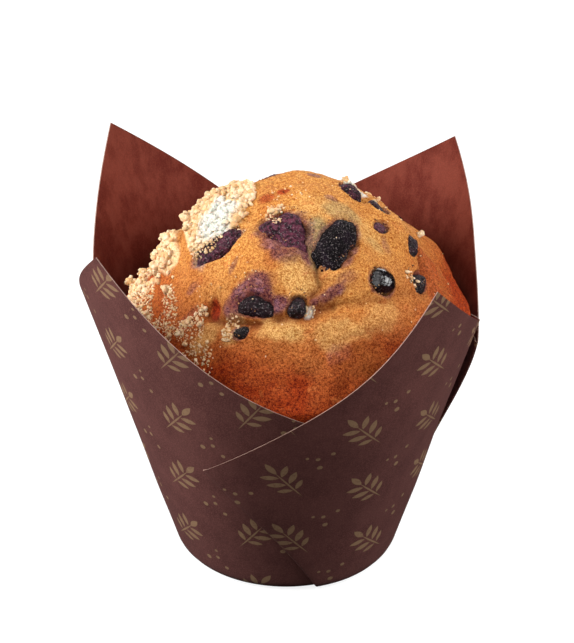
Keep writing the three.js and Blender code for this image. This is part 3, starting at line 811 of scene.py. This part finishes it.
def berry_frames():
    """Each berry's middle, its length, side and outward directions, and its half sizes."""
    frames = []
    for at, length, width, turn, proud, *_ in BERRIES:
        normal = dome_normals(at)[0]
        heading = np.array([math.cos(math.radians(turn)), math.sin(math.radians(turn)), 0.0])
        side = np.cross(normal, heading)
        side /= np.linalg.norm(side)
        forward = np.cross(side, normal)
        thickness = min(width, BERRY_FLATNESS * length)
        surface = dome_points(at)
        middle = surface[0] + normal * (broad_relief(surface)[0] - (thickness / 2 - proud))
        half = np.array([length / 2, width / 2, thickness / 2])
        frames.append((middle, np.stack([forward, side, normal]), half, proud))
    return frames


def swells(points):
    total = np.zeros(len(points))
    x, y, z = points.T
    for length, amount in SWELLS:
        k = 2 * math.pi / length
        waves = np.sin(k * (x + 0.4 * y) + 1.3) + np.sin(k * (y - 0.7 * z) + 4.1)
        total += amount * (waves + np.sin(k * (0.8 * z - x) + 2.6)) / 3
    return total


def marks(points, rows, ragged=0.0, edge=MARK_EDGE):
    """The strongest of the oval marks at each spot, each fading out between the edge's two shares."""
    total = np.zeros(len(points))
    for at, half, turn, strength in rows:
        angle = math.radians(turn)
        x = points[:, 0] - at[0]
        y = points[:, 1] - at[1]
        long = (x * math.cos(angle) + y * math.sin(angle)) / half[0]
        wide = (y * math.cos(angle) - x * math.sin(angle)) / half[1]
        total = np.maximum(total, strength * (1 - smooth(*edge, np.hypot(long, wide) + ragged)))
    return total


def path_distance(points, path):
    corners = dome_points(path)
    nearest = np.full(len(points), np.inf)
    for start, end in zip(corners[:-1], corners[1:]):
        along = end - start
        share = np.clip((points - start) @ along / (along @ along), 0, 1)
        gap = np.linalg.norm(points - (start + share[:, None] * along), axis=1)
        nearest = np.minimum(nearest, gap)
    return nearest


def warped(points):
    """Points moved about a little, so that what follows them wanders."""
    return points + WANDER * np.column_stack([noise(points, WANDER_SIZE, seed) for seed in (101, 102, 103)])


def crack_depth(points):
    depth = np.zeros(len(points))
    moved = warped(points)
    for path, deep, width in CRACKS:
        depth += deep * bell(path_distance(moved, path), width)
    return depth


def line_marks(points, rows):
    """A thin line down the middle of each crack or fold, as strong as it is deep."""
    moved = warped(points)
    total = np.zeros(len(points))
    for path, deep, width in rows:
        fall = np.exp(-path_distance(moved, path) / (LINE_WIDTH * width))
        total = np.maximum(total, min(deep, DEEPEST_LINE) * fall)
    return total


def broad_relief(points):
    """The same relief as the solid's: swells, patches, lobes, cracks and pits."""
    height = swells(points) + marks(points, PATCHES, 0.0, PATCH_EDGE) - crack_depth(points)
    for at, radius, rise in LOBES:
        share = np.minimum(np.linalg.norm(points - dome_points(at), axis=1) / radius, 1)
        height += rise * (1 - share * share) ** 1.5
    for at, radius, deep in PITS:
        height -= deep * bell(np.linalg.norm(points - dome_points(at), axis=1), radius)
    return height


def crumble_cover(points):
    """How much pale crumble covers a spot, from 0 to 1, with a ragged edge."""
    ragged = uneven(points, *CRUMBLE_RAGGED)
    whole = [(*patch[:3], 1.0) for patch in PATCHES]
    return marks(points, whole, ragged, COVER_EDGE) * (1 - marks(points, BARES, ragged))


def fine_relief(points):
    height = uneven(points, *WRINKLES) + uneven(points, *PORES)
    height += crumble_cover(points) * (uneven(points, *CRUMBLE_ROUGH) + CRUMBLE_RAISE)
    return height - CRACK_LINE * line_marks(points, CRACKS) - FOLD_LINE * line_marks(points, FOLDS)


def berry_reach(points, middle, axes, half):
    """How far out from a berry's middle points are, 1 at its outline, and which are near it."""
    local = (points - middle) @ axes.T
    near = np.abs(local[:, 2]) < half[2] + NEAR_BERRY
    return np.hypot(local[:, 0] / half[0], local[:, 1] / half[1]), near


def berry_pockets(points, frames):
    """The hollow that each berry lies in, with a soft rim round it."""
    height = np.zeros(len(points))
    ragged = uneven(points, *POCKET_RAGGED)
    rim, rim_at, rim_width = POCKET_RIM
    for middle, axes, half, proud in frames:
        reach, near = berry_reach(points, middle, axes, half)
        height -= near * (proud + POCKET_DEPTH) * (1 - smooth(*POCKET_EDGE, reach + ragged))
        height += near * rim * bell(reach - rim_at, rim_width)
    return height


def berry_tops(points, frames):
    """Height of the berries' tops over the dome, very low where there is no berry."""
    top = np.full(len(points), FAR_BELOW)
    for middle, axes, half, proud in frames:
        reach, near = berry_reach(points, middle, axes, half)
        crown = proud - half[2] * (1 - np.sqrt(np.clip(1 - reach ** 2, 0, 1)))
        top = np.maximum(top, np.where((reach < 1) & near, broad_relief(points) + crown, FAR_BELOW))
    return top


def placed(points):
    """Points of the muffin, with the dome shifted and all of it inside the paper."""
    shifted = points.copy()
    shifted[:, 0] += DOME_SHIFT * smooth(*SHIFT_FADE, points[:, 2])
    radius = np.hypot(shifted[:, 0], shifted[:, 1])
    room = room_inside(np.maximum(points[:, 2], BOTTOM))
    pull = np.minimum(1.0, room / np.maximum(radius, 1e-6))
    shifted[:, :2] *= pull[:, None]
    return shifted


def outline():
    """Half the muffin's section as (radius, height), and the row where its dome ends."""
    radii = np.linspace(0, DOME_RADIUS, 241)
    dome = np.column_stack([radii, dome_height(radii)])
    heights = np.linspace(DOME_BASE - 0.5, BOTTOM + FOOT_ROUND, 120)
    tuck = smooth(DOME_BASE, DOME_BASE - SHOULDER, heights)
    side = lerp(DOME_RADIUS, np.minimum(room_inside(heights), DOME_RADIUS), tuck)
    corner = room_inside(BOTTOM) - FOOT_ROUND
    rest = np.array([[corner, BOTTOM], [0.0, BOTTOM]])
    return np.concatenate([dome, np.column_stack([side, heights]), rest]), len(radii) - 1


def make_muffin(frames):
    line, dome_end = outline()
    steps = np.linalg.norm(np.diff(line, axis=0), axis=1)
    lengths = np.concatenate([[0], np.cumsum(steps)])
    directions, faces = geodesic(MUFFIN_DETAIL)
    angle = np.arccos(np.clip(directions[:, 2], -1, 1))
    on_dome = lengths[dome_end] * angle / DOME_SHARE_ANGLE
    share = (angle - DOME_SHARE_ANGLE) / (math.pi - DOME_SHARE_ANGLE)
    below = lerp(lengths[dome_end], lengths[-1], share)
    length = np.where(angle < DOME_SHARE_ANGLE, on_dome, below)
    radius = np.interp(length, lengths, line[:, 0])
    height = np.interp(length, lengths, line[:, 1])
    tangent_r = np.interp(length, lengths[:-1], np.diff(line[:, 0]) / steps)
    tangent_z = np.interp(length, lengths[:-1], np.diff(line[:, 1]) / steps)
    flat = np.maximum(np.hypot(directions[:, 0], directions[:, 1]), 1e-9)
    across = directions[:, :2] / flat[:, None]
    points = np.column_stack([radius[:, None] * across, height])
    outward = np.column_stack([-tangent_z[:, None] * across, tangent_r])
    fade = smooth(*RELIEF_FADE, height)
    rise = broad_relief(points) + fine_relief(points) + berry_pockets(points, frames)
    shape = points + outward * (fade * rise)[:, None]
    muffin = make_piece("muffin_crust", placed(shape), faces, [crust_material()])

    ragged = uneven(points, *MARKS_RAGGED)
    masks = {
        "crumble": crumble_cover(points),
        # The crack mask is painted shade along the cracks and folds, strongest where they are deepest
        "crack": np.clip(line_marks(points, CRACKS + FOLDS), 0, 1),
        "toast_and_shade": toast_and_shade(points),
        "stain": stain(points, frames, ragged),
        "ember": marks(points, EMBERS, 1.3 * ragged),
        "blond": marks(points, BLONDS, ragged),
        "ashen": marks(points, ASHES, 0.7 * ragged),
        "flour": marks(points, FLOURS, ragged),
    }
    for name, values in masks.items():
        add_mask(muffin, name, values)
    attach(muffin, "root")
    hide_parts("muffin")


def toast_and_shade(points):
    """Browner towards the paper and at the sides, paler on top: partly real toasting, partly painted shade
    on the lower skirt and the sides.
    """
    low = 1 - smooth(*TOAST_AND_SHADE_HEIGHTS, points[:, 2])
    left, right = TOAST_AND_SHADE_LEFT, TOAST_AND_SHADE_RIGHT
    sides = left[0] * smooth(*left[1:], -points[:, 0]) + right[0] * smooth(*right[1:], points[:, 0])
    return np.clip(low + sides + uneven(points, *TOAST_AND_SHADE_UNEVEN), 0, 1)


def stain(points, frames, ragged):
    """Juice in patches and in a thin ring round each berry."""
    total = np.maximum(marks(points, STAINS, ragged), np.minimum(line_marks(points, TRICKLES), 1))
    for middle, axes, half, _ in frames:
        reach, near = berry_reach(points, middle, axes, half)
        total = np.maximum(total, near * JUICE_STRENGTH * (1 - smooth(*JUICE_RING, reach + 0.5 * ragged)))
    return total


def crust_material():
    """The crust's colour: the grain's tones, then one layer over another by their masks."""
    nodes = Nodes("crust")
    place = nodes.position()
    grit = nodes.grain(place, 3700.0, 2.0, 0.6)
    crumb = nodes.grain(place, 1700.0, 3.0, 0.65)
    patchy = nodes.grain(place, 330.0, 3.0, 0.6)
    cloud = nodes.ranged(nodes.grain(place, 110.0, 3.0, 0.6), 0.42, 0.64, 0.0, 0.4)
    speck = nodes.ranged(patchy, 0.6, 0.7, 0.0, 0.5)
    fine = nodes.math("ADD", nodes.math("MULTIPLY", grit, 0.55), nodes.math("MULTIPLY", crumb, 0.45))
    tone = nodes.ranged(fine, 0.35, 0.65)
    colour = nodes.shade(tone, GOLDEN)
    # The toast layer darkens the skirt and sides, partly as browning and partly as painted shade
    for share, pair in ((cloud, GOLDEN_CLOUD), (nodes.mask("toast_and_shade"), TOASTED_AND_SHADED), (nodes.mask("blond"), BLOND),
                        (nodes.mask("ember"), EMBER), (speck, SPECK)):
        colour = nodes.mix(share, colour, nodes.shade(tone, pair))
    # Painted shade in the cracks and folds
    colour = nodes.mix(nodes.math("MULTIPLY", nodes.mask("crack"), 0.7), colour, srgb(*CRACK_SHADE))
    colour = nodes.mix(nodes.mask("ashen"), colour, nodes.shade(tone, ASHEN))
    juice = nodes.mix(nodes.ranged(patchy, 0.5, 0.66, 0.0, 0.55), nodes.shade(tone, JUICE),
                      nodes.shade(tone, PALE_JUICE))
    strength = nodes.math("MULTIPLY", nodes.mask("stain"), nodes.ranged(crumb, 0.3, 0.6, 1.0, 0.78))
    colour = nodes.mix(strength, colour, juice)
    for name, pair in (("crumble", CRUMBLE_CRUST), ("flour", FLOURY_CRUST)):
        colour = nodes.mix(nodes.mask(name), colour, nodes.shade(tone, pair))
    normal = nodes.bump(grit, 0.22, 0.5)
    normal = nodes.bump(crumb, 0.4, 0.6, normal)
    roughness = nodes.ranged(nodes.mask("stain"), 0.0, 1.0, 0.78, 0.55)
    return nodes.finish(colour, roughness, normal, Specular_IOR_Level=0.12,
                        Subsurface_Weight=0.08, Subsurface_Scale=0.0015)


# Berries

def berry_material(index, gloss, ripe):
    nodes = Nodes(f"berry_skin_{index}")
    place = nodes.position()
    fine = nodes.grain(place, 3000.0, 2.0, 0.6)
    wrinkle = nodes.grain(place, 1100.0, 4.0, 0.7)
    cloud = nodes.grain(place, 300.0)
    dark, light = (
        tuple(lerp(a, b, ripe) for a, b in zip(srgb(*black), srgb(*purple)))
        for black, purple in zip(BLACK_BERRY_SKIN, RIPE_BERRY_SKIN)
    )
    colour = nodes.mix(nodes.ranged(wrinkle, 0.38, 0.66), dark, light)
    colour = nodes.mix(nodes.ranged(cloud, 0.5, 0.7, 0.0, 0.12), colour, srgb(*BERRY_BLOOM))
    glint = nodes.ranged(fine, 0.57, 0.7, 0.0, lerp(0.6, 0.15, gloss))
    colour = nodes.mix(glint, colour, srgb(*BERRY_GLINT))
    normal = nodes.bump(fine, lerp(0.3, 0.05, gloss), 0.7)
    normal = nodes.bump(wrinkle, lerp(0.6, 0.2, gloss), lerp(0.9, 0.5, gloss), normal)
    return nodes.finish(colour, lerp(0.66, 0.14, gloss), normal, Specular_IOR_Level=lerp(0.08, 0.6, gloss))


def make_berries(frames):
    """Baked soft: an uneven outline, wrinkled skin, and the burst ones sunken on top."""
    balls = [geodesic(detail) for detail in BERRY_DETAIL]
    for index, ((middle, axes, half, proud), row) in enumerate(zip(frames, BERRIES), start=1):
        directions, faces = balls[0 if row[1] > LARGE_BERRY else 1]
        gloss, ripe, corner, first = row[5:]
        rough = 1 - 0.7 * gloss
        broad = cloudy(directions + 3.1 * index, 1.1, 2, 80 + index)
        crease = 1 - 2 * np.abs(noise(directions + 1.7 * index, 0.42, 90 + index))
        lumps = cloudy(directions + 4.7 * index, 0.5, 2, 60 + index)
        pimples = noise(directions + 2.3 * index, 0.11, 70 + index)
        swell = 0.98 + rough * (0.1 * broad + 0.05 * lumps + 0.03 * crease + 0.04 * pimples)
        around = np.arctan2(directions[:, 1], directions[:, 0]) - math.radians(first)
        flat = np.hypot(directions[:, 0], directions[:, 1])
        swell += corner * np.cos(3 * around) * flat
        swell += BLUNTNESS * (1 - row[2] / row[1]) * (directions[:, 0] * directions[:, 1]) ** 2
        local = directions * half * swell[:, None]
        top = smooth(0.2, 0.8, directions[:, 2]) * bell(flat, 0.5)
        local[:, 2] -= SUNKEN * ripe * half[2] * top
        piece = make_piece(f"berry_fruit_{index}", placed_small(middle, local @ axes), faces,
                           [berry_material(index, gloss, ripe)])
        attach(piece, "root")
        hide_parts(f"berry_{index}")


def placed_small(middle, around):
    """Points of a small thing, shifted as the dome is at its middle."""
    shift = DOME_SHIFT * float(smooth(*SHIFT_FADE, middle[2]))
    return middle + around + np.array([shift, 0.0, 0.0])


# Crumble

def grain_shapes(detail):
    """Rough grains one millimetre long, all different, and their shared triangles."""
    directions, faces = geodesic(detail)
    variants = []
    for number in range(GRAIN_VARIANTS):
        rough = 1 + uneven(directions + 7.3 * number, *GRAIN_ROUGH)
        stretch = np.array([1.0, lerp(*GRAIN_WIDTH, rng.random()), lerp(*GRAIN_HEIGHT, rng.random())])
        variants.append(directions * rough[:, None] * stretch / 2)
    return variants, faces


def surface_middles(plan, frames):
    """Places on the crust or on a berry over plan points, and the ways out there."""
    bases = dome_points(plan)
    normals = dome_normals(plan)
    rise = broad_relief(bases) + fine_relief(bases) + berry_pockets(bases, frames)
    rise = np.maximum(rise, berry_tops(bases, frames))
    return bases + normals * rise[:, None], normals


def field_grains(rows, frames):
    """Loose crumbs of each field, fewer between its clumps and none on the bare strips."""
    for at, half, count, small, large, clumps in rows:
        reach = np.sqrt(rng.random(count))
        around = rng.random(count) * 2 * math.pi
        plan = np.column_stack([at[0] + half[0] * reach * np.cos(around),
                                at[1] + half[1] * reach * np.sin(around)])
        size = small + (large - small) * rng.random(count) ** 2
        density = cloudy(dome_points(plan), *CLUMPS) + 0.4 * rng.random(count)
        keep = (density > lerp(*CLUMP_LIMITS, clumps)) & (np.hypot(*plan.T) < DOME_RADIUS - BARE_RIM)
        keep &= marks(dome_points(plan), BARES) < 0.5
        places, normals = surface_middles(plan[keep], frames)
        yield places + normals * 0.12 * size[keep, None], size[keep]


def lump_grains(frames):
    """Each larger lump is a knot of grains round one large grain."""
    for x, y, size in CRUMBS:
        place, normal = surface_middles([(x, y)], frames)
        yield place + normal * 0.1 * size, np.array([size])
        count = int(LUMP_GRAINS * size)
        around = rng.normal(size=(count, 3))
        around /= np.linalg.norm(around, axis=1, keepdims=True)
        reach = 0.4 * size * rng.random((count, 1)) ** 0.4
        yield place + normal * 0.2 * size + around * reach, size * lerp(*LUMP_SIZES, rng.random(count))


def rim_grains(frames):
    """Bits of crust that lie over the edge of each berry."""
    for middle, axes, half, _ in frames:
        count = int(RIM_BITS * (half[0] + half[1]))
        around = rng.random(count) * 2 * math.pi
        reach = lerp(*RIM_REACH, rng.random(count))
        local = np.column_stack([half[0] * reach * np.cos(around), half[1] * reach * np.sin(around)])
        size = lerp(*RIM_SIZES, rng.random(count) ** 2)
        places, normals = surface_middles((middle + local @ axes[:2])[:, :2], frames)
        yield places + normals * 0.1 * size[:, None], size


def make_grains(name, groups, kinds, material):
    """One piece of many grains, each turned at random, with its own tone."""
    middles, sizes = (np.concatenate(column) for column in zip(*groups))
    points = []
    faces = []
    tones = []
    total = 0
    for middle, size in zip(middles, sizes):
        variants, triangles = kinds[0 if size < FINE_GRAIN else 1 if size < LARGE_GRAIN else 2]
        turn = np.array(Matrix.Rotation(rng.random() * math.tau, 3, Vector(rng.normal(size=3))))
        shape = variants[rng.integers(GRAIN_VARIANTS)] * size
        points.append(placed_small(middle, shape @ turn))
        faces.append(triangles + total)
        tones.append(np.full(len(shape), rng.random()))
        total += len(shape)
    points = np.concatenate(points)
    piece = make_piece(name, points, np.concatenate(faces), [material])
    add_mask(piece, "tone", np.concatenate(tones))
    plain = points - np.array([DOME_SHIFT, 0.0, 0.0])
    add_mask(piece, "flour", marks(plain, FLOURS, uneven(plain, *MARKS_RAGGED)))
    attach(piece, "root")


def make_crumble(frames):
    """Loose crumbs and lumps of pale crumble, sunk a little into what they lie on."""
    kinds = [grain_shapes(detail) for detail in GRAIN_DETAIL]
    material = crumble_material()
    for name, rows in CRUMB_FIELDS.items():
        make_grains(name, field_grains(rows, frames), kinds, material)
    make_grains("crumble_lumps", lump_grains(frames), kinds, material)
    make_grains("crust_bits", rim_grains(frames), kinds, bits_material())


def crumble_material():
    nodes = Nodes("crumble")
    grain = nodes.ranged(nodes.grain(nodes.position(), 2200.0, 3.0, 0.7), 0.38, 0.6)
    cream = nodes.shade(nodes.mask("tone"), CREAM)
    # Painted shade: the cream is darkened where the grain's bump is low
    colour = nodes.mix(grain, nodes.mix(0.35, cream, srgb(*CREAM_PAINTED_SHADE)), cream)
    colour = nodes.mix(nodes.mask("flour"), colour, nodes.shade(grain, WHITE_CRUMBLE))
    return nodes.finish(colour, 0.85, nodes.bump(grain, 0.2, 0.6), Specular_IOR_Level=0.25,
                        Subsurface_Weight=0.12, Subsurface_Scale=0.0012)


def bits_material():
    nodes = Nodes("crust_bits")
    grain = nodes.ranged(nodes.grain(nodes.position(), 2200.0, 3.0, 0.7), 0.38, 0.6)
    brown = nodes.shade(nodes.ranged(nodes.mask("tone"), 0.2, 0.9), BITS)
    # Painted shade: the brown is darkened where the grain's bump is low
    colour = nodes.mix(grain, nodes.mix(0.4, brown, srgb(*BITS_PAINTED_SHADE)), brown)
    return nodes.finish(colour, 0.85, nodes.bump(grain, 0.15, 0.6), Specular_IOR_Level=0.2)


# Stage

def make_floor():
    """A white floor that glows a little and takes only a faint shadow."""
    nodes = Nodes("floor")
    colour = nodes.shade(nodes.grain(nodes.position(), 6.0, 1.0), FLOOR)
    material = nodes.finish(colour, 0.9, Specular_IOR_Level=0.0, Emission_Color=(1.0, 1.0, 1.0, 1.0),
                            Emission_Strength=FLOOR_GLOW)
    corners = [(x * FLOOR_REACH, y * FLOOR_REACH, 0) for x, y in ((-1, -1), (1, -1), (1, 1), (-1, 1))]
    floor = make_piece("floor", corners, [(0, 1, 2, 3)], [material])
    floor.visible_diffuse = False
    floor.visible_glossy = False
    floor.visible_shadow = False


def make_lights():
    """Soft light from above, the front, the back and both sides, strongest from the left."""
    sky = Nodes("studio", bpy.data.worlds)
    height = sky.parts(sky.add("ShaderNodeTexCoord").outputs["Generated"])["Z"]
    sky.put(sky.tree.nodes["Background"].inputs["Strength"], sky.ranged(height, *SKY, curve="LINEAR"))
    bpy.context.scene.world = sky.owner
    for name, place, size, power in LIGHTS:
        light = bpy.data.lights.new(name, "AREA")
        light.shape = "DISK"
        light.size = size
        light.energy = power
        lamp = bpy.data.objects.new(name, light)
        lamp.location = place
        lamp.visible_camera = False
        toward = Vector(LIGHT_TARGET) - Vector(place)
        lamp.rotation_euler = toward.to_track_quat("-Z", "Y").to_euler()
        bpy.context.scene.collection.objects.link(lamp)
    bpy.context.scene.view_settings.view_transform = "Standard"


def make_camera():
    camera = bpy.data.cameras.new("camera")
    camera.sensor_fit = "VERTICAL"
    camera.sensor_height = SENSOR_HEIGHT
    camera.lens = FOCAL_PIXELS * SENSOR_HEIGHT / IMAGE_HEIGHT
    camera.clip_start = 0.01
    stand = bpy.data.objects.new("camera", camera)
    tilt = math.radians(CAMERA_ELEVATION)
    target = Vector(CAMERA_TARGET)
    back = Vector((0.0, -math.cos(tilt), math.sin(tilt)))
    stand.location = (target + back * CAMERA_DISTANCE) * MM
    stand.rotation_euler = (math.pi / 2 - tilt, 0.0, 0.0)
    bpy.context.scene.collection.objects.link(stand)
    bpy.context.scene.camera = stand


make_camera()
make_lights()
make_floor()
make_wrap()
FRAMES = berry_frames()
make_muffin(FRAMES)
make_berries(FRAMES)
make_crumble(FRAMES)
